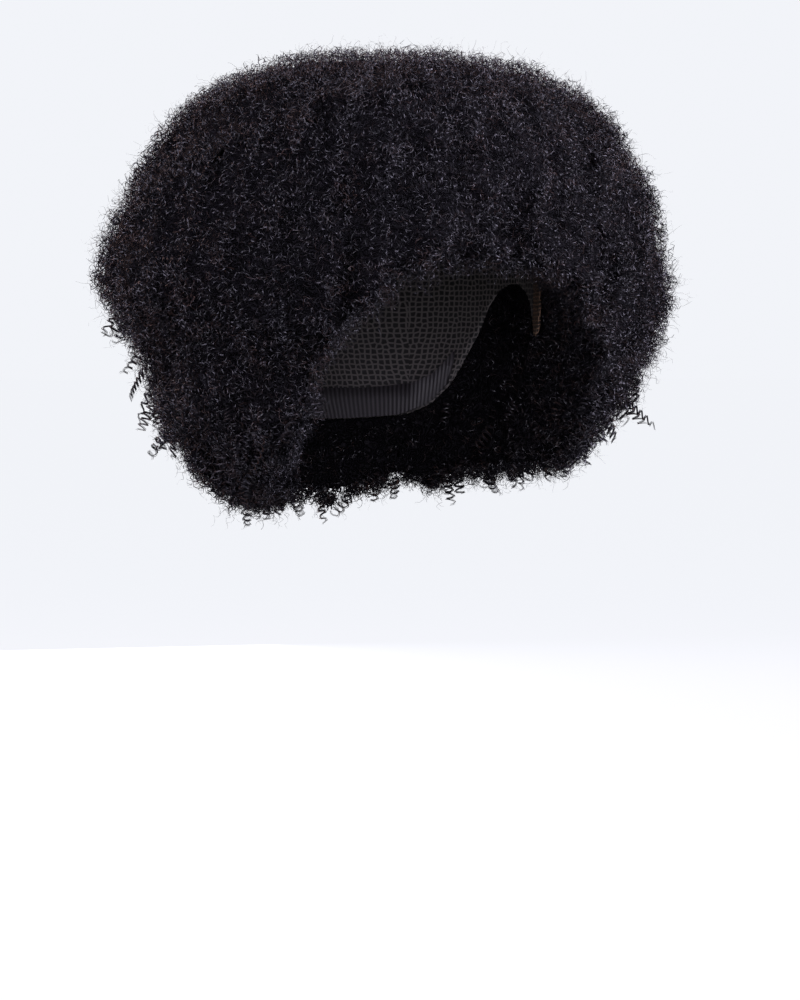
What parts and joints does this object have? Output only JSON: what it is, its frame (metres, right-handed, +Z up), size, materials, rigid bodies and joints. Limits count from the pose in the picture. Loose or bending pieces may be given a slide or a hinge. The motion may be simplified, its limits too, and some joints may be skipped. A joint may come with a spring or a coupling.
{
  "type": "lace wig",
  "caption": "Short, full, tightly curled lace wig with a curly fringe: a lace front and stretch net cap with an elastic nape band, worn on the head.",
  "frame": {"origin": "crown seat: the highest point inside the cap, where it rests on the crown of the head", "axes": "+Z up, -Y the way the wearer faces, +X towards the wearer's left"},
  "size_m": [0.3284, 0.2773, 0.2525],
  "materials": {
    "lace": "fine sheer lace, mid brown",
    "net": "black stretch net",
    "elastic": "black woven elastic",
    "hair": "natural black, tightly curled, softly glossy"
  },
  "bodies": {
    "root": {"lace_front": "lace", "net_cap": "net", "nape_band": "elastic", "hair_fringe": "hair", "hair_crown": "hair", "hair_right": "hair", "hair_left": "hair", "hair_back": "hair", "hair_nape": "hair"}
  },
  "joints": []
}
